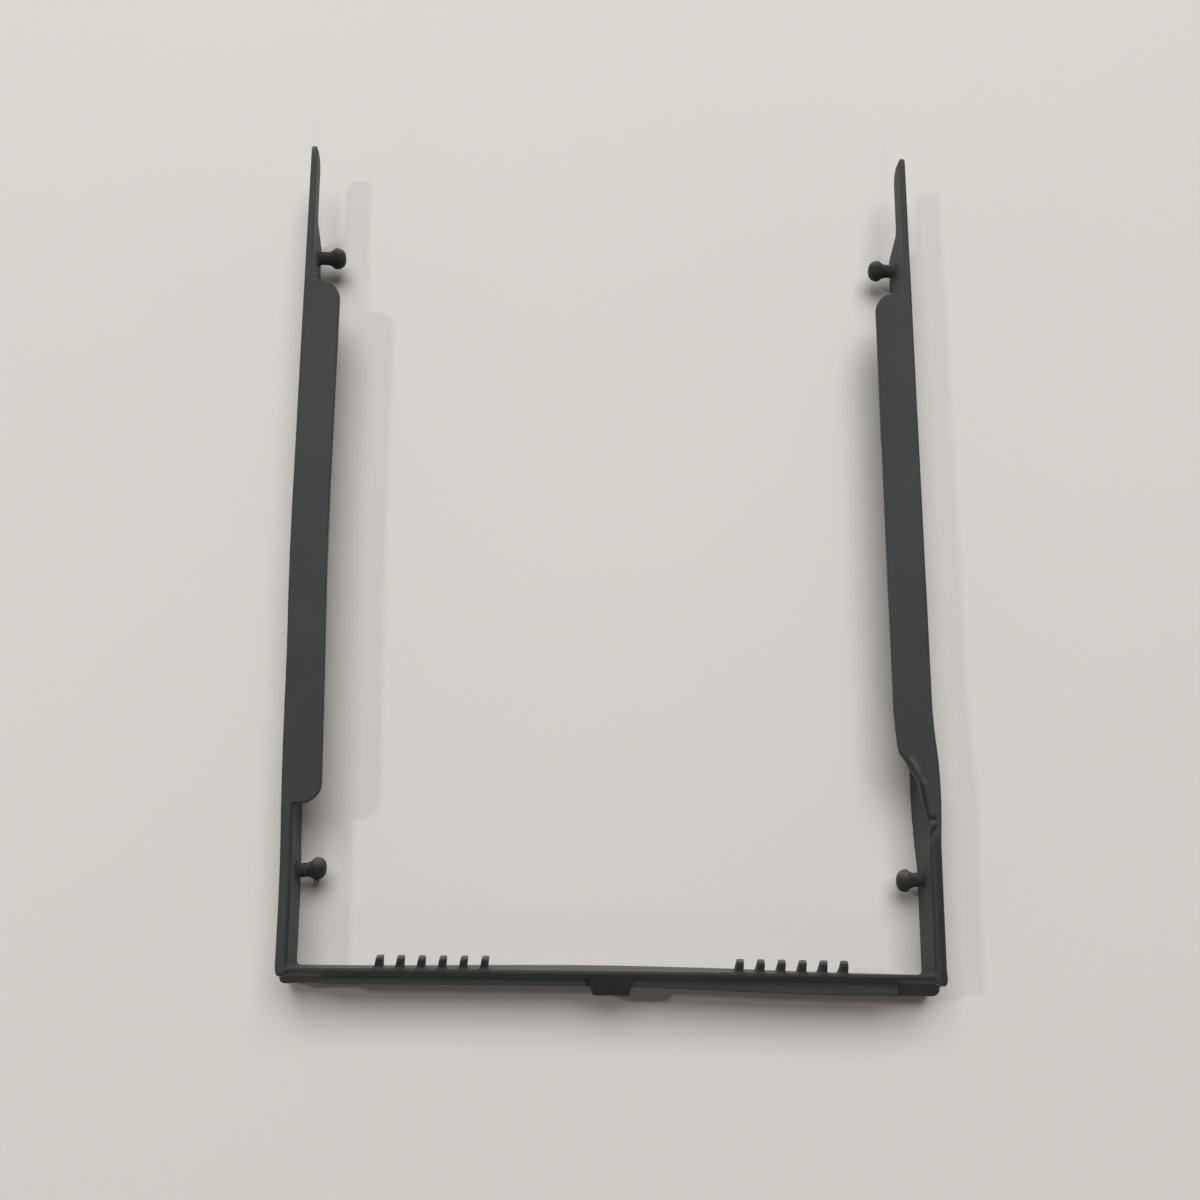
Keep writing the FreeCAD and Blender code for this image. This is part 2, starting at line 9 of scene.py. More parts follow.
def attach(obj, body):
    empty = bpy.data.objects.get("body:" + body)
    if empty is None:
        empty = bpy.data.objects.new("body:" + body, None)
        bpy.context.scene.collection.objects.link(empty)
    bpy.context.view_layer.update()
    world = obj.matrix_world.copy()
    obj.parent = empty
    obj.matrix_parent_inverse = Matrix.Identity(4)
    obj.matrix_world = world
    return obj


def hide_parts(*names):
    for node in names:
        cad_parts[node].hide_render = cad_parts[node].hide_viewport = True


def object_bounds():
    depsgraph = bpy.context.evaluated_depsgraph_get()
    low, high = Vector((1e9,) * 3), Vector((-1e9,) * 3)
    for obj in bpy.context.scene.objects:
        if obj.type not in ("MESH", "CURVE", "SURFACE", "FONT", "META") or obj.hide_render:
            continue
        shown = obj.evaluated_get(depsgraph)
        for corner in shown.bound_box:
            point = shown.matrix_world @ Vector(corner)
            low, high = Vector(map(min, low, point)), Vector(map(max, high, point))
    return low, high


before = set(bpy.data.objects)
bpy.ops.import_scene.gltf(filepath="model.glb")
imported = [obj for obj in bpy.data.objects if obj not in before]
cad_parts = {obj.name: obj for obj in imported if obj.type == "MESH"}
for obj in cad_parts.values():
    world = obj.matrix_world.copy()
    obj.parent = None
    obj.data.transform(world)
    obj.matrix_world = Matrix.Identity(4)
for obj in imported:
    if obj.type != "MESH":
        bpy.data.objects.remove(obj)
cadLow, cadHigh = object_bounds()
scene = bpy.context.scene
scene.view_settings.view_transform = "Standard"
perMetre = 1000     # millimetres
print("frame loaded, nodes:", sorted(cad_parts))


# small helpers for node trees

def addNode(tree, kind, **settings):
    node = tree.nodes.new(kind)
    for name, value in settings.items():
        setattr(node, name, value)
    return node


def setInput(node, name, value):
    node.inputs[name].default_value = value


def mathNode(tree, operation, first, second):
    node = addNode(tree, "ShaderNodeMath", operation=operation)
    for socket, value in zip(node.inputs, (first, second)):
        if isinstance(value, (int, float)):
            socket.default_value = value
        else:
            tree.links.new(value, socket)
    return node.outputs[0]


def mixShades(tree, share, first, second):
    node = addNode(tree, "ShaderNodeMix", data_type="RGBA")
    tree.links.new(share, node.inputs["Factor"])
    if isinstance(first, tuple):
        node.inputs["A"].default_value = (*first, 1)
    else:
        tree.links.new(first, node.inputs["A"])
    node.inputs["B"].default_value = (*second, 1)
    return node.outputs["Result"]


# rubber finish: near-black, matt, with painted highlights that make it paler on ends and ridges facing
# the lamps, and painted shade that makes it darker in its creases and on faces turned away

rubberFinish = {
    "shade": (0.020, 0.0225, 0.0232),
    "paleShade": (0.030, 0.0325, 0.0332),
    "edgeShade": (0.050, 0.052, 0.052),
    # the next tone is a painted highlight, the one after it a painted shade
    "paintedHighlightTone": (0.17, 0.165, 0.155),
    "paintedShadeTone": (0.005, 0.006, 0.0065),
    "roughnessLow": 0.65,
    "roughnessHigh": 0.75,
    "creaseRoughness": 1.0,
    "specular": 0.42,
    "sheen": 0.08,
    "sheenRoughness": 0.5,
    "blotchSize": 0.011,     # metres, as are the sizes below
    "blotchDetail": 5,
    "blotchRoughness": 0.6,
    "grainSize": 0.00022,
    "grainDetail": 3,
    "grainHeight": 0.00002,
    "wearStart": 0.00004,    # how far an edge stands out before it shows wear
    "wearFull": 0.00012,
}


def makeRubber(finish):
    material = bpy.data.materials.new("mattBlackRubber")
    material.use_nodes = True
    tree = material.node_tree
    link = tree.links.new
    shader = tree.nodes["Principled BSDF"]
    coords = addNode(tree, "ShaderNodeTexCoord").outputs["Object"]

    blotches = addNode(tree, "ShaderNodeTexNoise")
    setInput(blotches, "Scale", 1 / finish["blotchSize"])
    setInput(blotches, "Detail", finish["blotchDetail"])
    setInput(blotches, "Roughness", finish["blotchRoughness"])
    link(coords, blotches.inputs["Vector"])
    tone = mixShades(tree, blotches.outputs["Fac"], finish["shade"], finish["paleShade"])

    # edges are worn in patches
    wear = addNode(tree, "ShaderNodeAttribute", attribute_name="edgeWear")
    worn = addNode(tree, "ShaderNodeMapRange")
    setInput(worn, "From Min", finish["wearStart"])
    setInput(worn, "From Max", finish["wearFull"])
    link(wear.outputs["Fac"], worn.inputs["Value"])
    patches = mathNode(tree, "MULTIPLY", worn.outputs["Result"], blotches.outputs["Fac"])
    tone = mixShades(tree, patches, tone, finish["edgeShade"])

    # painted highlights make places paler; painted shade makes places darker, and there the rubber is
    # also duller
    paintedHighlight = addNode(tree, "ShaderNodeAttribute", attribute_name="paintedHighlight").outputs["Fac"]
    tone = mixShades(tree, paintedHighlight, tone, finish["paintedHighlightTone"])
    creaseAndPaintedShade = addNode(tree, "ShaderNodeAttribute", attribute_name="creaseAndPaintedShade").outputs["Fac"]
    tone = mixShades(tree, creaseAndPaintedShade, tone, finish["paintedShadeTone"])
    link(tone, shader.inputs["Base Color"])

    gloss = addNode(tree, "ShaderNodeMapRange")
    setInput(gloss, "To Min", finish["roughnessHigh"])
    setInput(gloss, "To Max", finish["roughnessLow"])
    link(blotches.outputs["Fac"], gloss.inputs["Value"])
    dull = addNode(tree, "ShaderNodeMix", data_type="FLOAT")
    setInput(dull, "B", finish["creaseRoughness"])
    link(creaseAndPaintedShade, dull.inputs["Factor"])
    link(gloss.outputs["Result"], dull.inputs["A"])
    link(dull.outputs["Result"], shader.inputs["Roughness"])
    setInput(shader, "Specular IOR Level", finish["specular"])
    setInput(shader, "Sheen Weight", finish["sheen"])
    setInput(shader, "Sheen Roughness", finish["sheenRoughness"])

    grain = addNode(tree, "ShaderNodeTexNoise")
    setInput(grain, "Scale", 1 / finish["grainSize"])
    setInput(grain, "Detail", finish["grainDetail"])
    link(coords, grain.inputs["Vector"])
    bump = addNode(tree, "ShaderNodeBump")
    setInput(bump, "Distance", finish["grainHeight"])
    link(grain.outputs["Fac"], bump.inputs["Height"])
    link(bump.outputs["Normal"], shader.inputs["Normal"])
    return material


# moulding: the solid's own shape with the soft edges and faint waves of moulded rubber

moulding = {
    "mergeGap": 0.0000001,   # metres
    "cellSize": 0.00014,
    "softening": 3,          # passes over the edges
    "wearSpread": 6,
    "waveHeight": 0.00004,
    "waveLength": 0.012,
    "waveDetail": 2.0,
    "waveSeed": 4.0,
    "triangleLimit": 190000,
}


def makeMouldingTree(material):
    tree = bpy.data.node_groups.new("softMoulding", "GeometryNodeTree")
    addSocket = tree.interface.new_socket
    addSocket("Geometry", in_out="INPUT", socket_type="NodeSocketGeometry")
    addSocket("Softening", in_out="INPUT", socket_type="NodeSocketInt")
    addSocket("Wear spread", in_out="INPUT", socket_type="NodeSocketInt")
    addSocket("Wave height", in_out="INPUT", socket_type="NodeSocketFloat")
    addSocket("Wave length", in_out="INPUT", socket_type="NodeSocketFloat")
    addSocket("Wave detail", in_out="INPUT", socket_type="NodeSocketFloat")
    addSocket("Wave seed", in_out="INPUT", socket_type="NodeSocketFloat")
    addSocket("Geometry", in_out="OUTPUT", socket_type="NodeSocketGeometry")
    start = addNode(tree, "NodeGroupInput")
    stop = addNode(tree, "NodeGroupOutput")
    link = tree.links.new

    place = addNode(tree, "GeometryNodeInputPosition").outputs[0]
    normal = addNode(tree, "GeometryNodeInputNormal").outputs[0]

    # edges lose their sharp corners, most where the rubber is softest
    blur = addNode(tree, "GeometryNodeBlurAttribute", data_type="FLOAT_VECTOR")
    link(place, blur.inputs["Value"])
    link(start.outputs["Softening"], blur.inputs["Iterations"])
    softness = addNode(tree, "GeometryNodeInputNamedAttribute", data_type="FLOAT")
    setInput(softness, "Name", "softness")
    link(softness.outputs["Attribute"], blur.inputs["Weight"])
    soften = addNode(tree, "GeometryNodeSetPosition")
    link(start.outputs["Geometry"], soften.inputs["Geometry"])
    link(blur.outputs["Value"], soften.inputs["Position"])

    # an edge stands out from the surface round it
    wide = addNode(tree, "GeometryNodeBlurAttribute", data_type="FLOAT_VECTOR")
    link(start.outputs["Wear spread"], wide.inputs["Iterations"])
    link(place, wide.inputs["Value"])
    stand = addNode(tree, "ShaderNodeVectorMath", operation="SUBTRACT")
    link(place, stand.inputs[0])
    link(wide.outputs["Value"], stand.inputs[1])
    height = addNode(tree, "ShaderNodeVectorMath", operation="DOT_PRODUCT")
    link(stand.outputs["Vector"], height.inputs[0])
    link(normal, height.inputs[1])
    store = addNode(tree, "GeometryNodeStoreNamedAttribute", data_type="FLOAT", domain="POINT")
    setInput(store, "Name", "edgeWear")
    link(soften.outputs["Geometry"], store.inputs["Geometry"])
    link(height.outputs["Value"], store.inputs["Value"])

    # faint waves, pressed in only, so that the moulding keeps to its size
    noise = addNode(tree, "ShaderNodeTexNoise", noise_dimensions="4D")
    link(place, noise.inputs["Vector"])
    link(mathNode(tree, "DIVIDE", 1, start.outputs["Wave length"]), noise.inputs["Scale"])
    link(start.outputs["Wave detail"], noise.inputs["Detail"])
    link(start.outputs["Wave seed"], noise.inputs["W"])
    depth = mathNode(tree, "MULTIPLY", noise.outputs["Fac"], start.outputs["Wave height"])
    inward = addNode(tree, "ShaderNodeVectorMath", operation="SCALE")
    link(normal, inward.inputs[0])
    link(mathNode(tree, "MULTIPLY", depth, -1), inward.inputs["Scale"])
    wave = addNode(tree, "GeometryNodeSetPosition")
    link(store.outputs["Geometry"], wave.inputs["Geometry"])
    link(inward.outputs["Vector"], wave.inputs["Offset"])

    smooth = addNode(tree, "GeometryNodeSetShadeSmooth")
    link(wave.outputs["Geometry"], smooth.inputs["Geometry"])
    realize = addNode(tree, "GeometryNodeRealizeInstances")
    link(smooth.outputs["Geometry"], realize.inputs["Geometry"])
    finish = addNode(tree, "GeometryNodeSetMaterial")
    setInput(finish, "Material", material)
    link(realize.outputs["Geometry"], finish.inputs["Geometry"])
    link(finish.outputs["Geometry"], stop.inputs["Geometry"])
    return tree


def setModifierInput(modifier, name, value):
    for item in modifier.node_group.interface.items_tree:
        if item.in_out == "INPUT" and item.name == name:
            modifier[item.identifier] = value


def evaluatedMesh(piece):
    view = bpy.context.evaluated_depsgraph_get()
    return bpy.data.meshes.new_from_object(piece.evaluated_get(view))


def mergedCopy(node, gap):
    mesh = node.data.copy()
    work = bmesh.new()
    work.from_mesh(mesh)
    bmesh.ops.remove_doubles(work, verts=work.verts, dist=gap)
    work.to_mesh(mesh)
    work.free()
    mesh.materials.clear()
    return mesh


def triangleCount(mesh):
    mesh.calc_loop_triangles()
    return len(mesh.loop_triangles)


# marks of use: bends, creases and small faults of the mould, with painted shade and painted highlights,
# in millimetres of the shared frame

handling = {
    "skew": {"slope": -0.006, "tipStart": 41.3, "tipEnd": 51.65},
    "spread": {
        "left": {"middle": -26.0, "halfLength": 17.0, "shift": -0.28, "inner": 28.0, "outer": 36.0},
        "right": {"middle": -28.0, "halfLength": 9.0, "shift": 0.20, "inner": 28.0, "outer": 36.0},
    },
    "twist": {
        "start": -44.5,
        "full": -48.0,
        "middle": {"place": -2.0, "halfLength": 30.0, "shift": 0.33},
        "rightEnd": {"from": 14.0, "to": 36.0, "shift": -0.33},
    },
    "lean": {"beyond": 30.0, "middle": -28.2, "halfLength": 10.0, "shift": -0.75},
    "thinning": {"outer": -38.135, "wall": 0.9, "start": -8.0, "full": 20.0, "shift": -0.35, "top": 7.0},
    "corners": {
        "leftWedge": {"place": (-36.2, -50.4), "reach": 1.6, "shift": (-0.70, -0.15)},
        "rightWedge": {"place": (36.7, -50.9), "reach": 1.6, "shift": (0.50, 0.0)},
        "rightCorner": {"place": (37.5, -49.5), "reach": 1.4, "shift": (0.10, -0.45)},
    },
    "pegs": {
        "leftBack": {"root": (-36.115, -38.15, 3.0), "length": 3.3, "tilt": 0.40, "shorten": -0.12},
        "rightBack": {"root": (36.585, -38.15, 3.0), "length": -3.3, "tilt": -0.28, "shorten": 0.2},
        "leftFront": {"root": (-37.25, 38.45, 3.0), "length": 3.3, "tilt": 0.0, "shorten": -0.25},
        "rightFront": {"root": (36.10, 38.45, 3.0), "length": -3.3, "tilt": 0.0, "shorten": 0.0},
    },
    "pegZone": {"radius": 1.75, "reach": 1.3},      # reach in shares of a peg's length
    # pegs: painted highlight on the side facing the lamps, painted shade on the rest of the head
    "pegTone": {"dark": 0.6, "pale": 0.4, "facing": 1.5, "rise": 2.0},
    # creases pressed in by depth, each also darkened with painted shade by dark; rightCrown and barSlope
    # are painted shade alone
    "creasesAndShadeLines": {
        "foldEnd": {
            "path": [(36.40, -31.40, 8.0), (37.15, -31.40, 8.0)],
            "width": 0.35, "depth": 0.24, "dark": 1.0,
        },
        "wrinkle": {
            "path": [(37.05, -32.40, 8.0), (36.30, -33.35, 7.8)],
            "width": 0.42, "depth": 0.26, "dark": 0.9,
        },
        "foldLine": {
            "path": [(35.85, -27.7, 7.7), (36.41, -31.33, 7.7)],
            "width": 0.45, "depth": 0.10, "dark": 0.8,
        },
        "leftBead": {
            "path": [(-35.8, -48.3, 7.75), (-35.8, -31.0, 7.75)],
            "width": 0.60, "depth": 0.14, "dark": 1.0,
        },
        "rightBead": {
            "path": [(36.3, -48.3, 7.75), (36.3, -34.5, 7.75)],
            "width": 0.50, "depth": 0.10, "dark": 0.7,
        },
        "rightCrown": {
            "path": [(37.2, -50.0, 8.0), (37.2, -34.0, 8.0)],
            "width": 0.8, "depth": 0.0, "dark": 0.5,
        },
        "barSlope": {
            "path": [(-36.0, -49.3, 7.6), (36.0, -49.3, 7.6)],
            "width": 0.75, "depth": 0.0, "dark": 0.8,
        },
    },
    # painted highlights along the fold's ridge, the wrinkle's top and the arm tips
    "highlightLines": {
        "foldRidge": {"path": [(34.75, -24.6, 8.0), (36.05, -27.3, 8.0)], "width": 0.55, "pale": 0.30},
        "wrinkleTop": {"path": [(36.0, -31.95, 7.9), (36.9, -31.9, 8.0)], "width": 0.40, "pale": 0.20},
        "leftTip": {"path": [(-38.0, 51.5, 4.0), (-38.0, 51.5, 8.0)], "width": 0.90, "pale": 0.60},
        "rightTip": {"path": [(36.9, 51.5, 4.0), (36.9, 51.5, 8.0)], "width": 0.90, "pale": 0.40},
    },
    "ledgeFace": -49.75,
    # painted shade on the tab and the wedges, whose slopes face away from the lamps
    "ledgeBlocks": {
        "tab": {"from": -2.6, "to": 2.6, "dark": 0.75},
        "leftWedge": {"from": -38.0, "to": -32.3, "dark": 0.7},
        "rightWedge": {"from": 32.3, "to": 38.0, "dark": 0.7},
    },
    # painted shade on the ribs' tops, painted highlight at their ends
    "ribs": {
        "face": -48.65, "end": -47.0, "foot": 5.0, "reach": 30.0,
        "dark": 0.8, "paleStart": -47.85, "paleFull": -47.45, "pale": 0.6,
    },
    # painted highlight on the bar's inner face, which faces the lamp
    "barFront": {"face": -48.75, "near": 0.1, "reach": 35.5, "facing": 0.8, "pale": 0.12},
    "tipStart": 41.3,
    "softness": {"ledge": 0.35, "ribs": 0.3, "pegs": 0.2, "tips": 0.6},     # 1 elsewhere
    "wisps": {
        "first": {"from": (-33.88, -38.70, 3.0), "to": (-34.20, -39.80, 3.0)},
        "second": {"from": (-33.58, -38.70, 3.0), "to": (-33.78, -39.70, 2.9)},
    },
    "wispShape": {"width": 0.24, "taper": 3, "sides": 8},
}


def fade(gap, reach):
    share = np.clip(gap / reach, 0, 1)
    return 0.5 + 0.5 * np.cos(math.pi * share)


def gapToPath(places, path):
    nearest = np.full(len(places), np.inf)
    for start, stop in zip(path[:-1], path[1:]):
        start = np.array(start)
        run = np.array(stop) - start
        share = np.clip((places - start) @ run / (run @ run), 0, 1)
        gap = np.linalg.norm(places - start - share[:, None] * run, axis=1)
        nearest = np.minimum(nearest, gap)
    return nearest


def skewFrame(places, skew):
    # the left arm has slid forward against the right one; its tip keeps to its place
    x, y, z = places.T
    shift = skew["slope"] * x
    rest = np.clip((skew["tipEnd"] - y) / (skew["tipEnd"] - skew["tipStart"]), 0, 1)
    places[:, 1] += np.where(shift > 0, shift * rest, shift)


def spreadArms(places, spread):
    # the left arm bulges near the bar, the right arm stands wider on both sides of its kink
    x, y, z = places.T
    for name, sign in (("left", -1), ("right", 1)):
        arm = spread[name]
        across = np.clip((sign * x - arm["inner"]) / (arm["outer"] - arm["inner"]), 0, 1)
        bulge = fade(abs(y - arm["middle"]), arm["halfLength"])
        along = bulge if name == "left" else 1 - bulge
        places[:, 0] += arm["shift"] * across * along


def twistBar(places, twist, height):
    # the bar's foot stands forward in the middle and back at the right end
    x, y, z = places.T
    middle = twist["middle"]
    end = twist["rightEnd"]
    shift = middle["shift"] * fade(abs(x - middle["place"]), middle["halfLength"])
    shift += end["shift"] * np.clip((x - end["from"]) / (end["to"] - end["from"]), 0, 1)
    held = np.clip((twist["start"] - y) / (twist["start"] - twist["full"]), 0, 1)
    places[:, 1] += shift * held * (1 - z / height)


def leanWall(places, lean, height):
    # the right wall's foot has moved inwards under the fold, its top has stayed
    x, y, z = places.T
    shift = lean["shift"] * (1 - z / height) * fade(abs(y - lean["middle"]), lean["halfLength"])
    places[:, 0] += np.where(x > lean["beyond"], shift, 0)


def thinWall(places, thin):
    # the left wall gets thinner downwards towards the arm's tip
    x, y, z = places.T
    along = np.clip((y - thin["start"]) / (thin["full"] - thin["start"]), 0, 1)
    through = np.clip((x - thin["outer"]) / thin["wall"], 0, 1)
    shift = thin["shift"] * along * through * np.clip(1 - z / thin["top"], 0, 1)
    places[:, 0] += np.where(x < 0, shift, 0)


def pullCorners(places, corners):
    # the wedges and the right corner of the bar are drawn out a little
    for corner in corners.values():
        gap = np.linalg.norm(places[:, :2] - np.array(corner["place"]), axis=1)
        places[:, :2] += fade(gap, corner["reach"])[:, None] * np.array(corner["shift"])


def nearPeg(places, peg, zone):
    root = np.array(peg["root"])
    out = (places[:, 0] - root[0]) / peg["length"]
    side = np.hypot(places[:, 1] - root[1], places[:, 2] - root[2])
    return out, (out > 0) & (out < zone["reach"]) & (side < zone["radius"])


def tiltPeg(places, peg, zone):
    out, found = nearPeg(places, peg, zone)
    places[found, 1] += peg["tilt"] * out[found]
    places[found, 0] -= peg["shorten"] * np.sign(peg["length"]) * out[found]


def markMesh(mesh, marks):
    count = len(mesh.vertices)
    flat = np.empty(count * 3, np.float32)
    mesh.vertices.foreach_get("normal", flat)
    normals = flat.reshape(-1, 3).astype(float)
    mesh.vertices.foreach_get("co", flat)
    places = flat.reshape(-1, 3).astype(float) * perMetre
    x, y, z = places.T
    rib = marks["ribs"]
    onLedge = y < marks["ledgeFace"]
    onRibs = (y > rib["face"]) & (y < rib["end"]) & (z > rib["foot"]) & (abs(x) < rib["reach"])

    # small features keep their edges
    soft = np.ones(count)
    soft[onLedge] = marks["softness"]["ledge"]
    soft[onRibs] = marks["softness"]["ribs"]
    soft[y > marks["tipStart"]] = marks["softness"]["tips"]
    for peg in marks["pegs"].values():
        soft[nearPeg(places, peg, marks["pegZone"])[1]] = marks["softness"]["pegs"]

    # painted shade along the creases and on the ledge blocks, ribs and pegs
    dark = np.zeros(count)
    for creaseAndPaintedShade in marks["creasesAndShadeLines"].values():
        strength = fade(gapToPath(places, creaseAndPaintedShade["path"]), creaseAndPaintedShade["width"])
        places -= normals * (strength * creaseAndPaintedShade["depth"])[:, None]
        dark = np.maximum(dark, strength * creaseAndPaintedShade["dark"])
    # painted shade on the tab and the wedges
    for block in marks["ledgeBlocks"].values():
        dark[(y < marks["ledgeFace"]) & (x > block["from"]) & (x < block["to"])] = block["dark"]

    # painted shade on the ribs' tops and painted highlights at their ends; painted highlights on the
    # bar's front and on each peg's side that faces the lamps, painted shade on the rest of a peg's head
    paintedHighlight = np.zeros(count)
    along = np.clip((y - rib["paleStart"]) / (rib["paleFull"] - rib["paleStart"]), 0, 1)
    dark[onRibs] = (rib["dark"] * (1 - along))[onRibs]
    paintedHighlight[onRibs] = (rib["pale"] * along)[onRibs]
    for line in marks["highlightLines"].values():
        strength = line["pale"] * fade(gapToPath(places, line["path"]), line["width"])
        paintedHighlight = np.maximum(paintedHighlight, strength)
    bar = marks["barFront"]
    onBar = (abs(y - bar["face"]) < bar["near"]) & (abs(x) < bar["reach"])
    paintedHighlight[onBar & (normals[:, 1] > bar["facing"])] = bar["pale"]

    tone = marks["pegTone"]
    for peg in marks["pegs"].values():
        out, found = nearPeg(places, peg, marks["pegZone"])
        head = np.clip(tone["rise"] * out[found], 0, 1)
        front = np.clip(tone["facing"] * normals[found, 1], 0, 1) * head
        paintedHighlight[found] = tone["pale"] * front
        dark[found] = tone["dark"] * head * (1 - front)
        tiltPeg(places, peg, marks["pegZone"])

    height = cadHigh[2] * perMetre
    leanWall(places, marks["lean"], height)
    thinWall(places, marks["thinning"])
    pullCorners(places, marks["corners"])
    twistBar(places, marks["twist"], height)
    spreadArms(places, marks["spread"])
    skewFrame(places, marks["skew"])

    # nothing leaves the solid's own box
    kept = np.clip(places / perMetre, np.array(cadLow), np.array(cadHigh))
    mesh.vertices.foreach_set("co", kept.astype(np.float32).ravel())
    # softness, painted shade and painted highlights are stored on the points
    for name, values in (("softness", soft), ("creaseAndPaintedShade", dark), ("paintedHighlight", paintedHighlight)):
        layer = mesh.attributes.new(name, "FLOAT", "POINT")
        layer.data.foreach_set("value", values.astype(np.float32))
    mesh.update()


def addWisps(mesh, marks):
    # two wisps of flash under the head of the left back peg
    shape = marks["wispShape"]
    radius = shape["width"] / perMetre / 2
    work = bmesh.new()
    work.from_mesh(mesh)
    for wisp in marks["wisps"].values():
        start = Vector(wisp["from"]) / perMetre
        run = Vector(wisp["to"]) / perMetre - start
        turn = run.to_track_quat("Z", "Y").to_matrix().to_4x4()
        bmesh.ops.create_cone(
            work,
            cap_ends=True,
            cap_tris=True,
            segments=shape["sides"],
            radius1=radius,
            radius2=radius / shape["taper"],
            depth=run.length,
            matrix=Matrix.Translation(start + run / 2) @ turn,
        )
    work.to_mesh(mesh)
    work.free()


def makeCaddy(shape, marks, material):
    solid = mergedCopy(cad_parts["caddy_frame"], shape["mergeGap"])
    piece = bpy.data.objects.new("caddyMoulding", solid)
    scene.collection.objects.link(piece)
    remesh = piece.modifiers.new("evenSkin", "REMESH")
    remesh.mode = "VOXEL"
    remesh.voxel_size = shape["cellSize"]
    piece.data = evaluatedMesh(piece)
    piece.modifiers.clear()
    markMesh(piece.data, marks)

    soft = piece.modifiers.new("softMoulding", "NODES")
    soft.node_group = makeMouldingTree(material)
    setModifierInput(soft, "Softening", shape["softening"])
    setModifierInput(soft, "Wear spread", shape["wearSpread"])
    setModifierInput(soft, "Wave height", shape["waveHeight"])
    setModifierInput(soft, "Wave length", shape["waveLength"])
    setModifierInput(soft, "Wave detail", shape["waveDetail"])
    setModifierInput(soft, "Wave seed", shape["waveSeed"])
    piece.data = evaluatedMesh(piece)
    piece.modifiers.clear()
    full = triangleCount(piece.data)

    thin = piece.modifiers.new("thin", "DECIMATE")
    thin.ratio = min(1.0, shape["triangleLimit"] / full)
    piece.data = evaluatedMesh(piece)
    piece.modifiers.clear()
    addWisps(piece.data, marks)
    piece.data.name = "caddyMoulding"
    print("caddy moulding:", full, "triangles thinned to", triangleCount(piece.data))
    return piece


rubber = makeRubber(rubberFinish)
caddy = makeCaddy(moulding, handling, rubber)
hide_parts("caddy_frame")
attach(caddy, "root")


# pale floor, which sweeps up into a pale backdrop far from the caddy

floorSheet = {
    "flatReach": 0.9,        # metres
    "rimReach": 1.5,
    "rimHeight": 0.6,
    "sides": 96,
    "steps": 12,
    "shade": (0.70, 0.675, 0.64),
    "otherShade": (0.685, 0.66, 0.627),
    "cloudSize": 0.05,
    "roughness": 0.9,
    "specular": 0.1,
    "backdropShade": (0.62, 0.605, 0.58),
    "backdropStart": 0.25,
    "backdropFull": 0.9,
}


def sweepMesh(sheet):
    rise = sheet["rimReach"] - sheet["flatReach"]
    work = bmesh.new()
    bmesh.ops.create_circle(work, cap_ends=True, segments=sheet["sides"], radius=sheet["flatReach"])
    rim = work.edges[:]
    for step in range(1, sheet["steps"] + 1):
        turn = math.pi / 2 * step / sheet["steps"]
        reach = sheet["flatReach"] + rise * math.sin(turn)
        grown = bmesh.ops.extrude_edge_only(work, edges=rim)["geom"]
        for corner in (item for item in grown if isinstance(item, bmesh.types.BMVert)):
            out = corner.co.to_2d().normalized() * reach
            corner.co = (*out, sheet["rimHeight"] * (1 - math.cos(turn)))
        rim = [item for item in grown if isinstance(item, bmesh.types.BMEdge)]
    for face in work.faces:
        face.smooth = True
    mesh = bpy.data.meshes.new("paleFloor")
    work.to_mesh(mesh)
    work.free()
    return mesh


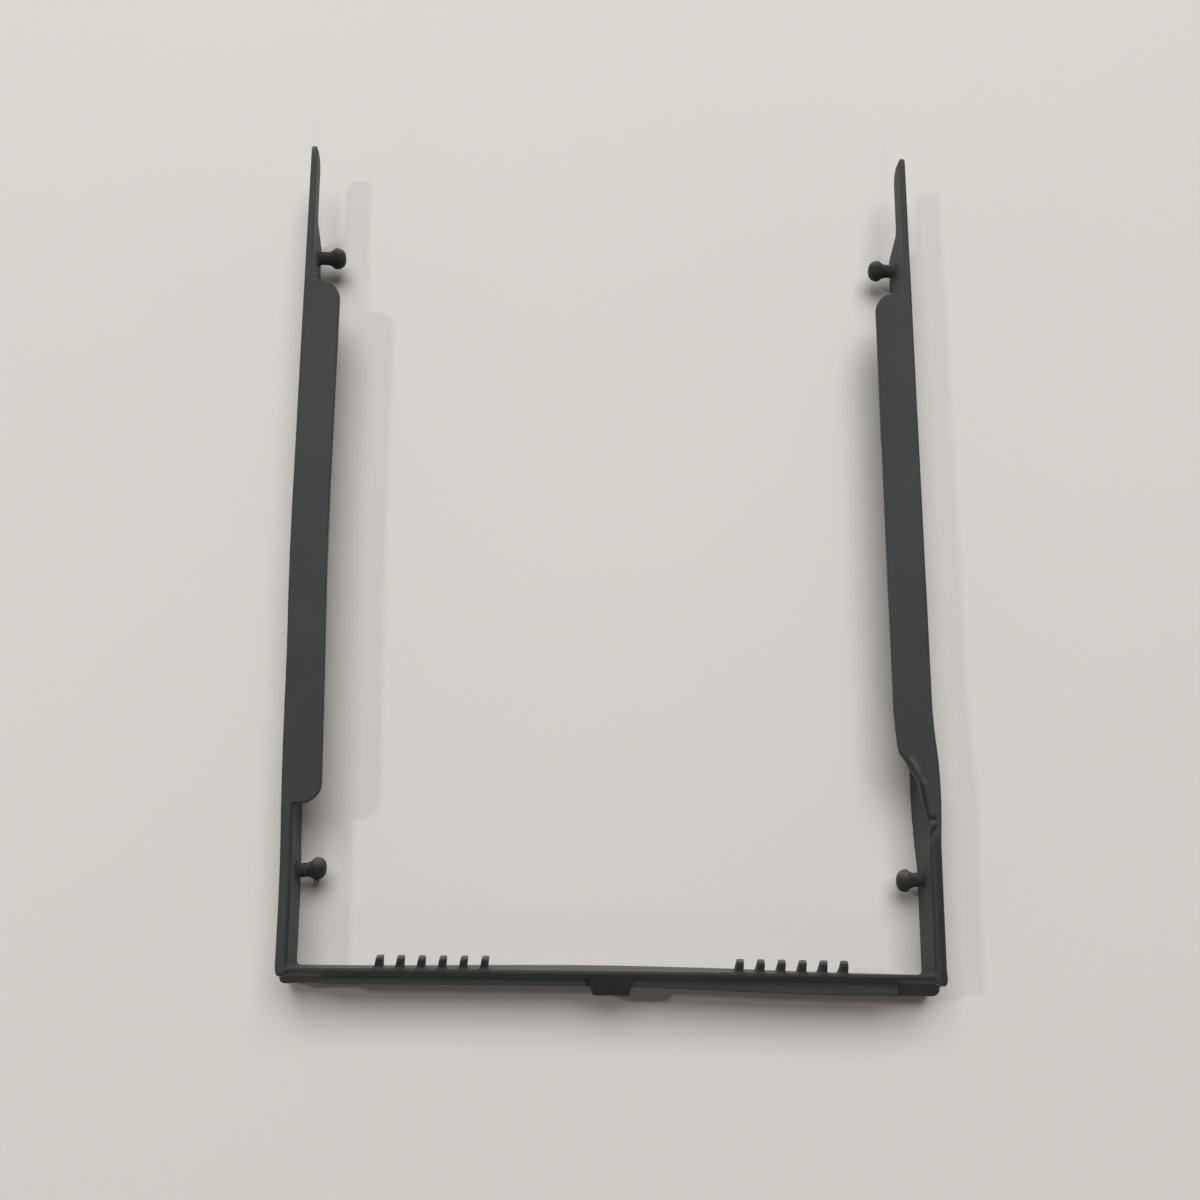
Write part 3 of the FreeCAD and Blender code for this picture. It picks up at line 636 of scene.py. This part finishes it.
def makeFloor(sheet):
    mesh = sweepMesh(sheet)
    floor = bpy.data.objects.new("paleFloor", mesh)
    scene.collection.objects.link(floor)
    material = bpy.data.materials.new("palePaper")
    material.use_nodes = True
    tree = material.node_tree
    link = tree.links.new
    shader = tree.nodes["Principled BSDF"]
    coords = addNode(tree, "ShaderNodeTexCoord").outputs["Object"]
    clouds = addNode(tree, "ShaderNodeTexNoise")
    setInput(clouds, "Scale", 1 / sheet["cloudSize"])
    link(coords, clouds.inputs["Vector"])
    tone = mixShades(tree, clouds.outputs["Fac"], sheet["shade"], sheet["otherShade"])
    link(tone, shader.inputs["Base Color"])
    setInput(shader, "Roughness", sheet["roughness"])
    setInput(shader, "Specular IOR Level", sheet["specular"])

    # far off, the paper passes into one plain shade, for the eye and for reflections alone
    gap = addNode(tree, "ShaderNodeVectorMath", operation="LENGTH")
    link(coords, gap.inputs[0])
    far = addNode(tree, "ShaderNodeMapRange", interpolation_type="SMOOTHSTEP")
    setInput(far, "From Min", sheet["backdropStart"])
    setInput(far, "From Max", sheet["backdropFull"])
    link(gap.outputs["Value"], far.inputs["Value"])
    ray = addNode(tree, "ShaderNodeLightPath")
    seen = mathNode(tree, "MAXIMUM", ray.outputs["Is Camera Ray"], ray.outputs["Is Glossy Ray"])
    seen = mathNode(tree, "MAXIMUM", seen, ray.outputs["Is Transmission Ray"])
    share = mathNode(tree, "MULTIPLY", far.outputs["Result"], seen)
    plain = addNode(tree, "ShaderNodeEmission")
    setInput(plain, "Color", (*sheet["backdropShade"], 1))
    blend = addNode(tree, "ShaderNodeMixShader")
    link(share, blend.inputs[0])
    link(shader.outputs["BSDF"], blend.inputs[1])
    link(plain.outputs["Emission"], blend.inputs[2])
    link(blend.outputs["Shader"], tree.nodes["Material Output"].inputs["Surface"])
    material.cycles.emission_sampling = "NONE"
    mesh.materials.append(material)


makeFloor(floorSheet)
print("floor laid")


# soft light: a wide lamp high up beyond the arm tips, weak ones at the left and behind the bar

roomLight = {
    "worldShade": (0.97, 0.985, 1.0),
    "worldStrength": 0.09,
    "lamps": {
        "highLamp": {
            "place": (0.02, 0.60, 1.00), "size": (1.00, 0.76),
            "power": 13.4, "shade": (1.0, 1.0, 1.0),
        },
        "leftLamp": {
            "place": (-0.62, 0.10, 0.80), "size": (0.06, 0.06),
            "power": 1.3, "shade": (1.0, 1.0, 1.0),
        },
        "rearLamp": {
            "place": (0.10, -0.62, 0.66), "size": (0.08, 0.08),
            "power": 0.36, "shade": (1.0, 0.74, 0.58),
        },
    },
}


def makeLights(light):
    world = bpy.data.worlds.new("studio")
    scene.world = world
    world.use_nodes = True
    backdrop = world.node_tree.nodes["Background"]
    setInput(backdrop, "Color", (*light["worldShade"], 1))
    setInput(backdrop, "Strength", light["worldStrength"])
    for name, lamp in light["lamps"].items():
        data = bpy.data.lights.new(name, "AREA")
        data.shape = "RECTANGLE"
        data.size, data.size_y = lamp["size"]
        data.energy = lamp["power"]
        data.color = lamp["shade"]
        holder = bpy.data.objects.new(name, data)
        holder.location = lamp["place"]
        holder.rotation_euler = (-Vector(lamp["place"])).to_track_quat("-Z", "Y").to_euler()
        scene.collection.objects.link(holder)


makeLights(roomLight)
print("lights set")


# camera above the bar, tipped towards the arm tips

cameraView = {
    "place": (-0.005155, -0.04164, 0.1692),
    "tipDegrees": (12.28, -1.43, 0.39),
    "lens": 42.08,
    "sensor": 36.0,
    "clipStart": 0.01,
}


def makeCamera(view):
    data = bpy.data.cameras.new("photoCamera")
    data.sensor_width = view["sensor"]
    data.lens = view["lens"]
    data.clip_start = view["clipStart"]
    camera = bpy.data.objects.new("photoCamera", data)
    camera.location = view["place"]
    camera.rotation_euler = [math.radians(angle) for angle in view["tipDegrees"]]
    scene.collection.objects.link(camera)
    scene.camera = camera


makeCamera(cameraView)
print("camera placed")
